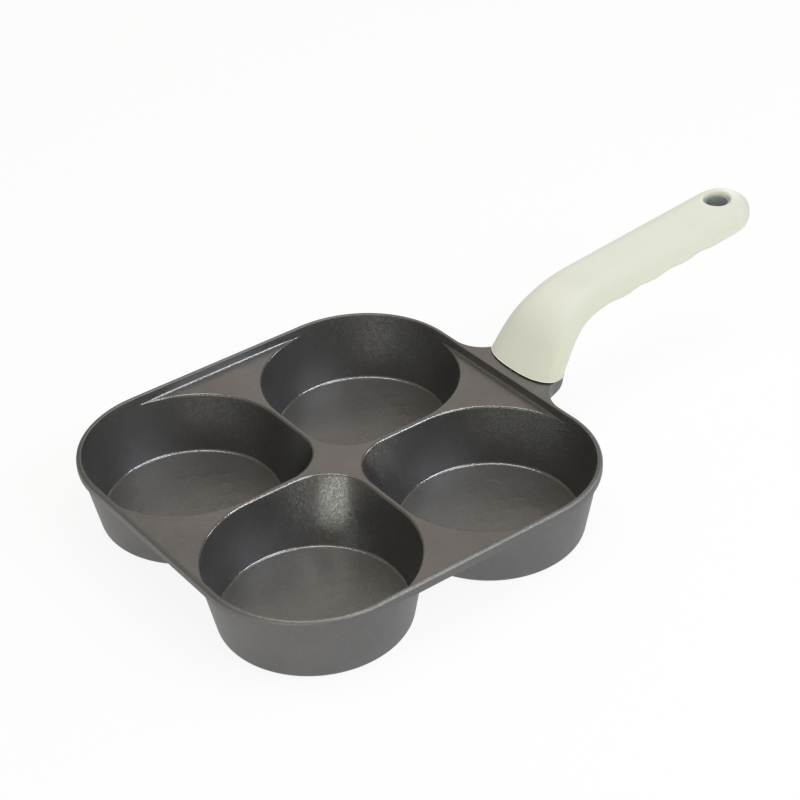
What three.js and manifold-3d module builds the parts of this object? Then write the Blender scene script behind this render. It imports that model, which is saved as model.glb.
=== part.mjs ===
// Four-cup egg pan. One casting forms four egg cups under a shared deck and rim, a moulded handle
// is bolted to the casting's lug, and a perforated steel plate is let into the base of each cup.
// Millimetres, +Z up. The handle runs along +Y and the cups stand on the plane Z = 0.

import * as THREE from 'three';
import { mergeVertices } from 'three/addons/utils/BufferGeometryUtils.js';
import Module from 'manifold-3d';

const wasm = await Module();
wasm.setup();

const fitGap = 0.3; // between a piece and its seat

// Egg cups
const cupSpacing = 98; // between the centres of neighbouring cups
const landWidth = 2.6; // strip of deck between neighbouring cups
const cupCornerRadius = 23.5; // mouth corner that faces the pan's centre
const wallDraft = 10.7; // degrees
const wallThickness = 1.6;
const floorThickness = 3.4;
const floorFillet = 1.5;
const baseFillet = 3.6;
const mouthRound = 1;
const mouthBlend = 25; // degrees over which the mouth's edge runs out into the rim's wall

// Deck and rim
const deckHeight = 32.6; // top of the deck above the base
const deckThickness = 2.6;
const rimRise = 4.3; // rim's top above the deck
const rimThickness = 2.4;
const rimRound = 0.5;
const lipStep = 2; // lip's lower edge above the underside of the deck
const lipOverhang = 2.7;
const lipRound = 1.2;
const trayFillet = 1.3;

// Lug
const lugWidth = 43.2;
const lugRootRadius = 17;
const lugEndRadius = 19;
const lugTurn = 75; // degrees each side's two arcs turn through
const lugRootDepth = 5; // how far the lug reaches in under the deck
const lugThickness = 8;
const lugEndThickness = 1.4;
const lugCornerRadius = 2.2;

// Tongue that the handle fits over
const tongueWidth = 22;
const tongueThickness = 8;
const tongueLength = 9; // above the lug, along the handle's axis
const tongueRoot = 3; // below the lug's top
const tongueCornerRadius = 2;

// Handle
const handleSetback = 11.2; // rim to handle axis, on top of the lug
const handleClearance = 0.8; // shadow gap between lug and handle
const riseAngle = 54.4; // degrees
const riseLength = 14.4;
const bendRadius = 39.5;
const gripAngle = 5.3; // degrees
const gripLength = 105.2;
const tipLength = 16.5;
const handleOverhang = 0.8; // handle's foot beyond each side of the lug
const handleWidth = { base: lugWidth + 2 * handleOverhang, grip: 29.2, tip: 30.8 };
const handleCrown = { base: 7.4, grip: 7.9, tip: 8.7 }; // centreline to the top
const handleBelly = { base: 9, grip: 11.1, tip: 10.2 }; // centreline to the underside
const crownPower = { base: 2.5, grip: 4.5, tip: 2.6 }; // higher is flatter on top
const bellyPower = 2.5;
const fingerPitch = 19.4;
const fingerDepth = 1.3;
const fingerCount = 4;
const lastFingerFromTip = 40.7;

// Hang hole and its liner
const hangHoleFromTip = 16.4;
const linerBore = 10.8;
const linerWall = 0.8;
const hangHoleLip = 2.4; // round of the hole's edge
const hangHoleLipTurn = 68; // degrees the round turns through before it meets the grip's skin

// Handle screw, lock washer and threaded insert
const screwDiameter = 5;
const screwHeadDiameter = 9;
const screwHeadHeight = 3.2;
const screwHeadFace = 6.4; // flat end of the head
const screwHeadBand = 1.8; // straight side of the head
const screwChamfer = 1.2;
const screwSocket = 3; // across the hexagon's flats
const screwSocketDepth = 1.8;
const counterboreDepth = 2.4; // at the screw's axis
const counterboreMargin = 0.8; // round the head
const washerThickness = 1.2;
const washerSplit = 0.8;
const insertDiameter = 7;
const insertLength = 11;
const insertGroove = 0.5;

// Base plates
const plateInset = 7.2; // casting left round the plate
const plateThickness = 0.8;
const plateHoleDiameter = 7;
const plateHolePitch = 9.6;
const plateMargin = 3; // solid edge outside the holes

// Facets
const cupSegments = 48;
const cornerSegments = cupSegments / 4;
const roundSegments = 20;
const filletSteps = 3;
const edgeSteps = 2;
const lugSteps = 5;
const sectionPoints = 24;
const plateSides = 36;
const plateHoleSides = 6;
const bendRings = 12;
const gripRings = 24;
const tipRings = 6;
const overshoot = 1; // cutters run this far past the faces they open

const radians = THREE.MathUtils.degToRad;
const smooth = THREE.MathUtils.smoothstep;
const quarterTurn = Math.PI / 2;

// Sizes that follow from the driving dimensions
const draft = radians(wallDraft);
const mouthRadius = (cupSpacing - landWidth) / 2;
const cupDepth = deckHeight - floorThickness;
const floorRadius = mouthRadius - cupDepth * Math.tan(draft);
const deckUnderside = deckHeight - deckThickness;
const rimHeight = deckHeight + rimRise;
const rimInnerReach = mouthRadius + rimRise * Math.tan(draft);
const rimReach = rimInnerReach + rimThickness; // from a cup's centre
const rimHalfWidth = cupSpacing / 2 + rimReach;
const lipBottom = deckUnderside + lipStep;
const axisY = rimHalfWidth + handleSetback;
const rise = radians(riseAngle);
const grip = radians(gripAngle);
const bendLength = bendRadius * (rise - grip);
const flareLength = riseLength + bendLength;
const handleLength = flareLength + gripLength;
const screwHole = screwDiameter / 2 + fitGap;
const handleStart = -2 * handleCrown.base / Math.tan(rise); // below the lug, to be trimmed level above it
const lugDepth = lugThickness / Math.sin(rise); // along the handle's axis
const seatDepth = lugDepth - counterboreDepth;
const insertFoot = tongueLength + 2 * fitGap;
const baseReach = floorRadius - floorThickness * Math.tan(draft) + wallThickness / Math.cos(draft);
const plateRadius = baseReach - plateInset;

// Solids and meshes

function toSolid(geometry) {
  const bare = geometry.clone();
  bare.deleteAttribute('normal');
  bare.deleteAttribute('uv');
  const merged = mergeVertices(bare);
  const corners = [];
  for (let i = 0; i < merged.index.count; i += 3) {
    const triangle = [0, 1, 2].map((k) => merged.index.getX(i + k));
    if (new Set(triangle).size === 3) corners.push(...triangle);
  }
  return new wasm.Manifold(new wasm.Mesh({
    numProp: 3,
    vertProperties: Float32Array.from(merged.attributes.position.array),
    triVerts: Uint32Array.from(corners),
  }));
}

function toGeometry(solid) {
  const { vertProperties, triVerts } = solid.getMesh();
  const geometry = new THREE.BufferGeometry();
  geometry.setAttribute('position', new THREE.BufferAttribute(Float32Array.from(vertProperties), 3));
  geometry.setIndex(new THREE.BufferAttribute(Uint32Array.from(triVerts), 1));
  geometry.computeVertexNormals();
  return geometry;
}

// Closed skin over a stack of rings that turn anticlockwise about the way they are stacked
function loft(rings) {
  const count = rings[0].length;
  const points = rings.flat();
  const index = [];
  for (let level = 0; level + 1 < rings.length; level++) {
    for (let i = 0; i < count; i++) {
      const a = level * count + i;
      const b = level * count + (i + 1) % count;
      index.push(a, b, b + count, a, b + count, a + count);
    }
  }
  const addCap = (ring, start, facesBack) => {
    const middle = ring.reduce((sum, point) => sum.add(point), new THREE.Vector3()).divideScalar(count);
    const hub = points.push(middle) - 1;
    for (let i = 0; i < count; i++) {
      const a = start + i;
      const b = start + (i + 1) % count;
      index.push(hub, facesBack ? b : a, facesBack ? a : b);
    }
  };
  addCap(rings[0], 0, true);
  addCap(rings.at(-1), (rings.length - 1) * count, false);
  return new THREE.BufferGeometry().setFromPoints(points).setIndex(index);
}

// Solid of revolution about Z from [radius, height] pairs, listed upwards along its outside
function turned(profile, segments = roundSegments) {
  const points = profile.map(([radius, height]) => new THREE.Vector2(radius, height));
  return new THREE.LatheGeometry(points, segments).rotateX(quarterTurn);
}

function disc(radius, low, high, segments = roundSegments) {
  return turned([[0, low], [radius, low], [radius, high], [0, high]], segments);
}

function finish(color, roughness, metalness) {
  return new THREE.MeshStandardMaterial({ color, roughness, metalness });
}

function named(name, geometry, material) {
  const mesh = new THREE.Mesh(geometry, material);
  mesh.name = name;
  return mesh;
}

// Round corner between a level face at height z and a wall that leans out, as [reach, height]
// pairs running upwards. side is 1 at the foot of the wall and -1 at its top edge.
function wallCorner(reach, z, lean, radius, side, steps) {
  const middleReach = reach - side * radius * (1 - Math.sin(lean)) / Math.cos(lean);
  const middleZ = z + side * radius;
  const from = side > 0 ? -quarterTurn : Math.PI - lean;
  const to = side > 0 ? -lean : quarterTurn;
  return Array.from({ length: steps + 1 }, (_, step) => {
    const angle = THREE.MathUtils.lerp(from, to, step / steps);
    return [middleReach + radius * Math.cos(angle), middleZ + radius * Math.sin(angle)];
  });
}

// Casting

// Distance from a cup's centre to its mouth. The cup stands at +X +Y, so its squared quarter,
// the one that faces the pan's centre, lies towards -X -Y.
function mouthReach(angle) {
  const alongX = -Math.cos(angle);
  const alongY = -Math.sin(angle);
  if (alongX <= 0 || alongY <= 0) return mouthRadius;
  const corner = mouthRadius - cupCornerRadius;
  const side = mouthRadius / Math.max(alongX, alongY);
  if (side * Math.min(alongX, alongY) <= corner) return side;
  const toCorner = corner * (alongX + alongY);
  return toCorner + Math.sqrt(toCorner ** 2 - 2 * corner ** 2 + cupCornerRadius ** 2);
}

// Rings round one cup. profile(angle) gives that direction's [reach, height] pairs.
function cupRings(profile) {
  const columns = Array.from({ length: cupSegments }, (_, i) => {
    const angle = i / cupSegments * 2 * Math.PI;
    return profile(angle).map(([reach, z]) => new THREE.Vector3(
      cupSpacing / 2 + reach * Math.cos(angle),
      cupSpacing / 2 + reach * Math.sin(angle),
      z,
    ));
  });
  return columns[0].map((_, level) => columns.map((column) => column[level]));
}

function wallLean(angle) {
  return Math.atan2(mouthReach(angle) - floorRadius, cupDepth);
}

// The tray's corner fillet ends at this height, where the cups' walls run on up to the rim
const trayFilletTop = deckHeight + trayFillet * (1 - Math.sin(draft));

function cupCavity() {
  return loft(cupRings((angle) => {
    const lean = wallLean(angle);
    const foot = wallCorner(floorRadius, floorThickness, lean, floorFillet, 1, filletSteps);
    const edge = wallCorner(mouthReach(angle), deckHeight, lean, mouthRound, -1, edgeSteps);
    const [edgeReach] = edge.at(-1);
    const path = [...edge, [edgeReach, trayFilletTop]];

    // Towards the rim the edge gives way to the plain wall
    const turn = THREE.MathUtils.euclideanModulo(angle - quarterTurn / 2, 4 * quarterTurn);
    const fromCorner = Math.min(turn, 4 * quarterTurn - turn);
    const onDeck = smooth(fromCorner, quarterTurn / 2, quarterTurn / 2 + radians(mouthBlend));
    const [, wallStart] = edge[0];
    const mouth = path.map(([reach, z], step) => {
      const wallZ = THREE.MathUtils.lerp(wallStart, trayFilletTop, step / (path.length - 1));
      const wallReach = floorRadius + (wallZ - floorThickness) * Math.tan(lean);
      return [THREE.MathUtils.lerp(wallReach, reach, onDeck), THREE.MathUtils.lerp(wallZ, z, onDeck)];
    });
    return [...foot, ...mouth];
  }));
}

function cupOutside() {
  return loft(cupRings((angle) => {
    const lean = wallLean(angle);
    const skin = wallThickness / Math.cos(lean);
    const reachAt = (z) => floorRadius + (z - floorThickness) * Math.tan(lean) + skin;
    const foot = wallCorner(reachAt(0), 0, lean, baseFillet, 1, edgeSteps);
    const top = deckUnderside + deckThickness / 2;
    return [...foot, [reachAt(top), top]];
  }));
}

// Rounded square about the pan's centre, its corners concentric with the cups
function squareRing([reach, z]) {
  const ring = [];
  for (let corner = 0; corner < 4; corner++) {
    const towards = (corner + 0.5) * quarterTurn;
    for (let step = 0; step <= cornerSegments; step++) {
      const angle = (corner + step / cornerSegments) * quarterTurn;
      ring.push(new THREE.Vector3(
        Math.sign(Math.cos(towards)) * cupSpacing / 2 + reach * Math.cos(angle),
        Math.sign(Math.sin(towards)) * cupSpacing / 2 + reach * Math.sin(angle),
        z,
      ));
    }
  }
  return ring;
}

function trayCavity() {
  const foot = wallCorner(mouthRadius, deckHeight, draft, trayFillet, 1, filletSteps);
  const edge = wallCorner(rimInnerReach, rimHeight, draft, rimRound, -1, edgeSteps);
  const [edgeReach] = edge.at(-1);
  return loft([...foot, ...edge, [edgeReach, rimHeight + overshoot]].map(squareRing));
}

function deckAndRim() {
  const waist = rimReach - lipOverhang;
  const lip = wallCorner(rimReach, lipBottom, 0, lipRound, 1, edgeSteps);
  const top = Array.from({ length: edgeSteps + 1 }, (_, step) => {
    const angle = step / edgeSteps * quarterTurn;
    return [rimReach - rimRound * (1 - Math.cos(angle)), rimHeight - rimRound * (1 - Math.sin(angle))];
  });
  return loft([[waist, deckUnderside], [waist, lipBottom], ...lip, ...top].map(squareRing));
}

// The lug grows out of the rim on a concave arc, swells over the screw and closes on a convex arc
function lug() {
  const turn = radians(lugTurn);
  const sideX = lugWidth / 2;
  const rootX = sideX + lugRootRadius * Math.sin(turn);
  const waistY = rimHalfWidth + lugRootRadius * (1 - Math.cos(turn));
  const endY = waistY + lugEndRadius * (1 - Math.cos(turn));
  const stations = [[rootX, rimHalfWidth - lugRootDepth]];
  for (let step = 0; step <= lugSteps; step++) {
    const angle = turn * step / lugSteps;
    stations.push([
      rootX - lugRootRadius * Math.sin(angle),
      rimHalfWidth + lugRootRadius * (1 - Math.cos(angle)),
    ]);
  }
  for (let step = lugSteps - 1; step >= 0; step--) {
    const angle = turn * step / lugSteps;
    stations.push([
      sideX - lugEndRadius * (Math.sin(turn) - Math.sin(angle)),
      endY - lugEndRadius * (1 - Math.cos(angle)),
    ]);
  }
  const flange = rimHeight - lipBottom;
  const thicknessAt = (y) => {
    if (y <= axisY) return flange + (lugThickness - flange) * smooth(y, rimHalfWidth, axisY);
    const past = Math.min((y - axisY) / (endY - axisY), 1);
    return lugEndThickness + (lugThickness - lugEndThickness) * Math.sqrt(1 - past ** 2);
  };
  return loft(stations.map(([x, y]) => {
    const bottom = rimHeight - thicknessAt(y);
    const round = Math.min(lugCornerRadius, thicknessAt(y) / 2);
    const half = Array.from({ length: edgeSteps + 1 }, (_, step) => {
      const angle = step / edgeSteps * quarterTurn;
      return [x - round * (1 - Math.cos(angle)), bottom + round * (1 - Math.sin(angle))];
    });
    const right = [[x, rimHeight], ...half];
    const left = right.map(([px, pz]) => [-px, pz]).reverse();
    return [...right, ...left].map(([px, pz]) => new THREE.Vector3(px, y, pz));
  }));
}

// From the handle's axis, measured from the top of the lug, to the pan
const axisFrame = new THREE.Matrix4()
  .makeTranslation(0, axisY, rimHeight)
  .multiply(new THREE.Matrix4().makeRotationX(rise - quarterTurn));

// Bar with rounded long edges, along the handle's axis
function axisBar(width, thickness, cornerRadius, low, high) {
  const x = width / 2 - cornerRadius;
  const y = thickness / 2 - cornerRadius;
  const outline = new THREE.Shape();
  outline.absarc(x, y, cornerRadius, 0, quarterTurn);
  outline.absarc(-x, y, cornerRadius, quarterTurn, 2 * quarterTurn);
  outline.absarc(-x, -y, cornerRadius, 2 * quarterTurn, 3 * quarterTurn);
  outline.absarc(x, -y, cornerRadius, 3 * quarterTurn, 4 * quarterTurn);
  const options = { depth: high - low, bevelEnabled: false, curveSegments: edgeSteps };
  return new THREE.ExtrudeGeometry(outline, options).translate(0, 0, low).applyMatrix4(axisFrame);
}

function castPan() {
  const screwCut = disc(screwHole, -seatDepth - overshoot, tongueLength + overshoot).applyMatrix4(axisFrame);
  const counterbore = disc(
    screwHeadDiameter / 2 + counterboreMargin,
    -lugDepth - screwHeadDiameter,
    -seatDepth,
  ).applyMatrix4(axisFrame);
  const recess = disc(plateRadius + fitGap, -overshoot, plateThickness + fitGap, plateSides)
    .translate(cupSpacing / 2, cupSpacing / 2, 0);

  let outside = toSolid(deckAndRim()).add(toSolid(lug()));
  let inside = toSolid(trayCavity());
  let cuts = toSolid(screwCut).add(toSolid(counterbore));
  for (let turn = 0; turn < 4; turn++) {
    const angle = turn * quarterTurn;
    outside = outside.add(toSolid(cupOutside().rotateZ(angle)));
    inside = inside.add(toSolid(cupCavity().rotateZ(angle)));
    cuts = cuts.add(toSolid(recess.clone().rotateZ(angle)));
  }
  const tongue = axisBar(tongueWidth, tongueThickness, tongueCornerRadius, -tongueRoot, tongueLength);
  return outside.subtract(inside).add(toSolid(tongue)).subtract(cuts);
}

// Handle

// Centreline in the plane X = 0: a straight rise, a round bend and a straight grip.
// Gives the point and slope at a distance from the lug's top.
function centreline(distance) {
  const bent = THREE.MathUtils.clamp(distance - riseLength, 0, bendLength) / bendRadius;
  const slope = rise - bent;
  const straight = Math.min(distance, riseLength);
  const along = Math.max(distance - flareLength, 0);
  const bendY = bendRadius * (Math.sin(rise) - Math.sin(slope));
  const bendZ = bendRadius * (Math.cos(slope) - Math.cos(rise));
  return {
    y: axisY + straight * Math.cos(rise) + bendY + along * Math.cos(grip),
    z: rimHeight + straight * Math.sin(rise) + bendZ + along * Math.sin(grip),
    slope,
  };
}

function handleSize({ base, grip: middle, tip }, distance) {
  const flared = (middle - base) * smooth(distance, 0, flareLength);
  return base + flared + (tip - middle) * smooth(distance, flareLength, handleLength);
}

function fingerGroove(distance) {
  const first = handleLength - lastFingerFromTip + fingerPitch / 2;
  const turns = (first - distance) / fingerPitch;
  if (turns <= 0 || turns >= fingerCount) return 0;
  return fingerDepth * (1 - Math.cos(2 * Math.PI * turns)) / 2;
}

function handleRing(distance) {
  const { y, z, slope } = centreline(distance);
  const past = Math.max(distance - (handleLength - tipLength), 0) / tipLength;
  const tipWidth = Math.sqrt(1 - past ** 2);
  const tipHeight = Math.sqrt(1 - past ** 3);
  const halfWidth = handleSize(handleWidth, distance) / 2 * tipWidth;
  const crown = handleSize(handleCrown, distance) * tipHeight;
  const belly = (handleSize(handleBelly, distance) - fingerGroove(distance)) * tipHeight;
  const topPower = handleSize(crownPower, distance);
  return Array.from({ length: sectionPoints }, (_, i) => {
    const angle = -i / sectionPoints * 2 * Math.PI;
    const across = Math.cos(angle);
    const up = Math.sin(angle);
    const widthPower = up >= 0 ? 2 / topPower : 2 / bellyPower;
    const height = up >= 0 ? crown * up : -belly * (-up) ** widthPower;
    const x = halfWidth * Math.sign(across) * Math.abs(across) ** widthPower;
    return new THREE.Vector3(x, y - height * Math.sin(slope), z + height * Math.cos(slope));
  });
}

function handleSkin() {
  const tipStart = handleLength - tipLength;
  const distances = [];
  for (let i = 0; i < bendRings; i++) {
    distances.push(THREE.MathUtils.lerp(handleStart, flareLength, i / bendRings));
  }
  for (let i = 0; i < gripRings; i++) {
    distances.push(THREE.MathUtils.lerp(flareLength, tipStart, i / gripRings));
  }
  for (let i = 0; i < tipRings; i++) {
    distances.push(tipStart + tipLength * Math.sin(i / tipRings * quarterTurn));
  }
  return loft(distances.map(handleRing));
}

const hangHole = handleLength - hangHoleFromTip;
const hangHoleRadius = linerBore / 2 + linerWall + fitGap;
const lipDepth = hangHoleLip * Math.sin(radians(hangHoleLipTurn));
const linerTop = handleSize(handleCrown, hangHole) - lipDepth;
const linerBottom = lipDepth - handleSize(handleBelly, hangHole);

// Geometry built about Z, moved to the hang hole's axis
function atHangHole(geometry) {
  const { y, z, slope } = centreline(hangHole);
  return geometry.rotateX(slope).translate(0, y, z);
}

function hangHoleCut() {
  const turn = radians(hangHoleLipTurn);
  const lip = Array.from({ length: filletSteps + 1 }, (_, step) => {
    const angle = turn * step / filletSteps;
    return [hangHoleRadius + hangHoleLip * (1 - Math.cos(angle)), hangHoleLip * Math.sin(angle)];
  });
  const [lipReach, lipRise] = lip.at(-1);
  lip.push([lipReach + overshoot * Math.tan(turn), lipRise + overshoot]);
  const above = lip.map(([reach, z]) => [reach, linerTop + z]);
  const below = lip.map(([reach, z]) => [reach, linerBottom - z]).reverse();
  return atHangHole(turned([[0, below[0][1]], ...below, ...above, [0, above.at(-1)[1]]]));
}

function handleSolid() {
  const trimSize = 2 * handleWidth.base;
  const trim = new THREE.BoxGeometry(trimSize, trimSize, trimSize);
  trim.translate(0, axisY, rimHeight + handleClearance - trimSize / 2);
  const socket = axisBar(
    tongueWidth + 2 * fitGap,
    tongueThickness + 2 * fitGap,
    tongueCornerRadius + fitGap,
    -tongueRoot,
    tongueLength + fitGap,
  );
  const insertHole = disc(insertDiameter / 2 + fitGap, tongueLength, insertFoot + insertLength + fitGap);
  return toSolid(handleSkin())
    .subtract(toSolid(trim))
    .subtract(toSolid(socket))
    .subtract(toSolid(insertHole.applyMatrix4(axisFrame)))
    .subtract(toSolid(hangHoleCut()));
}

function hangHoleLiner() {
  const inner = linerBore / 2;
  const outer = inner + linerWall;
  return atHangHole(turned([
    [inner, linerBottom],
    [outer, linerBottom],
    [outer, linerTop],
    [inner, linerTop],
    [inner, linerBottom],
  ]));
}

// Fasteners, built about Z with the screw seat's face at zero

const screwHeadTop = -fitGap - washerThickness - fitGap;

function handleScrew() {
  const shank = screwDiameter / 2;
  const head = screwHeadDiameter / 2;
  const end = seatDepth + tongueLength + insertLength;
  const low = screwHeadTop - screwHeadHeight;
  const blank = turned([
    [0, low],
    [screwHeadFace / 2, low],
    [head, screwHeadTop - screwHeadBand],
    [head, screwHeadTop],
    [shank, screwHeadTop],
    [shank, end - screwChamfer],
    [shank - screwChamfer, end],
    [0, end],
  ]);
  const socketRadius = screwSocket / Math.sqrt(3);
  const socket = disc(socketRadius, low - overshoot, low + screwSocketDepth, 6);
  return toGeometry(toSolid(blank).subtract(toSolid(socket)));
}

function lockWasher() {
  const outer = screwHeadDiameter / 2;
  const low = -fitGap - washerThickness;
  const ring = turned([
    [screwHole, low],
    [outer, low],
    [outer, -fitGap],
    [screwHole, -fitGap],
    [screwHole, low],
  ]);
  const split = new THREE.BoxGeometry(screwHeadDiameter, washerSplit, washerThickness + 2 * overshoot);
  split.translate(screwHeadDiameter / 2, 0, low + washerThickness / 2);
  return toGeometry(toSolid(ring).subtract(toSolid(split)));
}

function threadedInsert() {
  const outer = insertDiameter / 2;
  const waist = outer - insertGroove;
  const low = seatDepth + insertFoot;
  const step = insertLength / 3;
  return turned([
    [screwHole, low],
    [outer, low],
    [outer, low + step],
    [waist, low + step],
    [waist, low + 2 * step],
    [outer, low + 2 * step],
    [outer, low + insertLength],
    [screwHole, low + insertLength],
    [screwHole, low],
  ]);
}

// Base plates

function circlePoints(x, y, radius, sides) {
  return Array.from({ length: sides }, (_, i) => {
    const angle = i / sides * 2 * Math.PI;
    return new THREE.Vector2(x + radius * Math.cos(angle), y + radius * Math.sin(angle));
  });
}

// Holes on a triangular grid that leaves the plate's middle and edge solid
function basePlate() {
  const plate = new THREE.Shape(circlePoints(0, 0, plateRadius, plateSides));
  const holeRadius = plateHoleDiameter / 2;
  const limit = plateRadius - plateMargin - holeRadius;
  const rows = Math.ceil(limit / plateHolePitch) + 1;
  for (let row = -rows; row <= rows; row++) {
    for (let column = -2 * rows; column <= 2 * rows; column++) {
      const x = (column + row / 2) * plateHolePitch;
      const y = row * plateHolePitch * Math.sqrt(3) / 2;
      const fromMiddle = Math.hypot(x, y);
      if (fromMiddle < holeRadius || fromMiddle > limit) continue;
      plate.holes.push(new THREE.Path(circlePoints(x, y, holeRadius, plateHoleSides)));
    }
  }
  return new THREE.ExtrudeGeometry(plate, { depth: plateThickness, bevelEnabled: false });
}

// Assembly

const coating = finish(0x5f5b58, 0.45, 0.35);
const handleCream = finish(0xe2e5d7, 0.6, 0);
const linerGrey = finish(0x828c8c, 0.5, 0);
const plateSteel = finish(0xb9bbbd, 0.35, 1);
const zincSteel = finish(0xc4c6c8, 0.3, 1);
const brass = finish(0xc9a75c, 0.35, 1);

const pan = new THREE.Group();
pan.add(named('pan_body', toGeometry(castPan()), coating));
pan.add(named('handle', toGeometry(handleSolid()), handleCream));
pan.add(named('hang_hole_liner', hangHoleLiner(), linerGrey));

const fasteners = new THREE.Group();
fasteners.applyMatrix4(axisFrame);
fasteners.translateZ(-seatDepth);
fasteners.add(named('handle_screw', handleScrew(), zincSteel));
fasteners.add(named('lock_washer', lockWasher(), zincSteel.clone()));
fasteners.add(named('threaded_insert', threadedInsert(), brass));
pan.add(fasteners);

for (const [nameX, sideX] of [['left', -1], ['right', 1]]) {
  for (const [nameY, sideY] of [['front', -1], ['rear', 1]]) {
    const plate = named(`base_plate_${nameY}_${nameX}`, basePlate(), plateSteel.clone());
    plate.position.set(sideX * cupSpacing / 2, sideY * cupSpacing / 2, 0);
    pan.add(plate);
  }
}

// The origin lies on the base plane, under the middle of the whole object
const extent = new THREE.Box3().setFromObject(pan);
pan.position.y = -(extent.min.y + extent.max.y) / 2;

const eggPan = new THREE.Group();
eggPan.add(pan);
export default eggPan;
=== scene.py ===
import bpy
import bmesh
import math
from mathutils import Matrix, Vector


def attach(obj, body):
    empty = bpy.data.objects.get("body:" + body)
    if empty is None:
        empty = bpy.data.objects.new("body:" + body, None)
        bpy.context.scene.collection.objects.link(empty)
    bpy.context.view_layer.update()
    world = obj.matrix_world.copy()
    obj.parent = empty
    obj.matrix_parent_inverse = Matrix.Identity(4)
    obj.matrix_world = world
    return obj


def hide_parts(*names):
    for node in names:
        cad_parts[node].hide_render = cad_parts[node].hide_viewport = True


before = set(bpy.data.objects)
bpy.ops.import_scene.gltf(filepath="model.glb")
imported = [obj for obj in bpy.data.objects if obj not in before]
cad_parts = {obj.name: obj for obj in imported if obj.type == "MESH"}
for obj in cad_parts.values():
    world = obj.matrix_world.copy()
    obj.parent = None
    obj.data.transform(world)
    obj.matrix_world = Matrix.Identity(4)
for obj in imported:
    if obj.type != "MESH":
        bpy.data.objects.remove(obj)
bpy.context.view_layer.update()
mm = 0.001
joinGap = 0.004   # points closer than this many millimetres are one
print("frame loaded, nodes:", len(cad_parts))


# small helpers

def clearSelection():
    if bpy.context.object and bpy.context.object.mode != "OBJECT":
        bpy.ops.object.mode_set(mode="OBJECT")
    bpy.ops.object.select_all(action="DESELECT")


def pickOnly(piece):
    clearSelection()
    piece.select_set(True)
    bpy.context.view_layer.objects.active = piece


def ease(value, low, high):
    part = min(max((value - low) / (high - low), 0.0), 1.0)
    return part * part * (3.0 - 2.0 * part)


def between(a, b, part):
    return a + (b - a) * part


# a ring of numbered columns, open for editing; placeRing then gives it its shape
def startRing(name, count, fill):
    clearSelection()
    bpy.ops.mesh.primitive_circle_add(vertices=count, radius=10 * mm, location=(0, 0, 0),
                                      fill_type=fill)
    piece = bpy.context.object
    piece.name = name
    bpy.ops.object.mode_set(mode="EDIT")
    bpy.ops.mesh.select_mode(type="VERT")
    bm = bmesh.from_edit_mesh(piece.data)
    column = bm.verts.layers.int.new("column")
    bm.verts.layers.int.new("ring")
    for i, v in enumerate(bm.verts):
        v[column] = i
    return piece


# puts the selected ring where its columns belong; places is a list by column, in millimetres
def placeRing(piece, places, ring):
    bm = bmesh.from_edit_mesh(piece.data)
    column = bm.verts.layers.int["column"]
    ringOf = bm.verts.layers.int["ring"]
    for v in bm.verts:
        if v.select:
            v.co = places[v[column]] * mm
            v[ringOf] = ring
    bmesh.update_edit_mesh(piece.data)


def keepColumns(piece, last):
    bm = bmesh.from_edit_mesh(piece.data)
    column = bm.verts.layers.int["column"]
    for v in bm.verts:
        if v.select and v[column] > last:
            v.select = False
    bm.select_flush_mode()
    bmesh.update_edit_mesh(piece.data)


def pickRing(piece, ring):
    bm = bmesh.from_edit_mesh(piece.data)
    ringOf = bm.verts.layers.int["ring"]
    for v in bm.verts:
        v.select = v[ringOf] == ring
    bm.select_flush_mode()
    bmesh.update_edit_mesh(piece.data)


def extrudeRings(piece, rings, firstRing):
    for step, places in enumerate(rings):
        bpy.ops.mesh.extrude_edges_move()
        placeRing(piece, places, firstRing + step)


def closeUp(piece):
    pickOnly(piece)
    bpy.ops.object.mode_set(mode="EDIT")
    bpy.ops.mesh.select_all(action="SELECT")
    bpy.ops.mesh.remove_doubles(threshold=joinGap * mm)
    bpy.ops.mesh.dissolve_degenerate(threshold=joinGap * mm)
    bpy.ops.mesh.select_all(action="SELECT")
    bpy.ops.mesh.normals_make_consistent(inside=False)
    bpy.ops.object.mode_set(mode="OBJECT")


def addModifier(piece, kind, **settings):
    pickOnly(piece)
    bpy.ops.object.modifier_add(type=kind)
    modifier = piece.modifiers[-1]
    for key, value in settings.items():
        setattr(modifier, key, value)
    bpy.ops.object.modifier_apply(modifier=modifier.name)


def cutWith(piece, tool, operation):
    addModifier(piece, "BOOLEAN", object=tool, operation=operation, solver="EXACT")
    bpy.data.objects.remove(tool)


def smoothFinish(piece):
    pickOnly(piece)
    bpy.ops.object.shade_smooth_by_angle(angle=math.radians(38))
    addModifier(piece, "WEIGHTED_NORMAL", weight=60, keep_sharp=True)


def finishPiece(piece, node, material):
    piece.data.materials.clear()
    piece.data.materials.append(material)
    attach(piece, "root")
    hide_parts(node)
    print("made", piece.name, len(piece.data.polygons), "faces")


# pan body: one casting, millimetres about the pan's own middle

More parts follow.
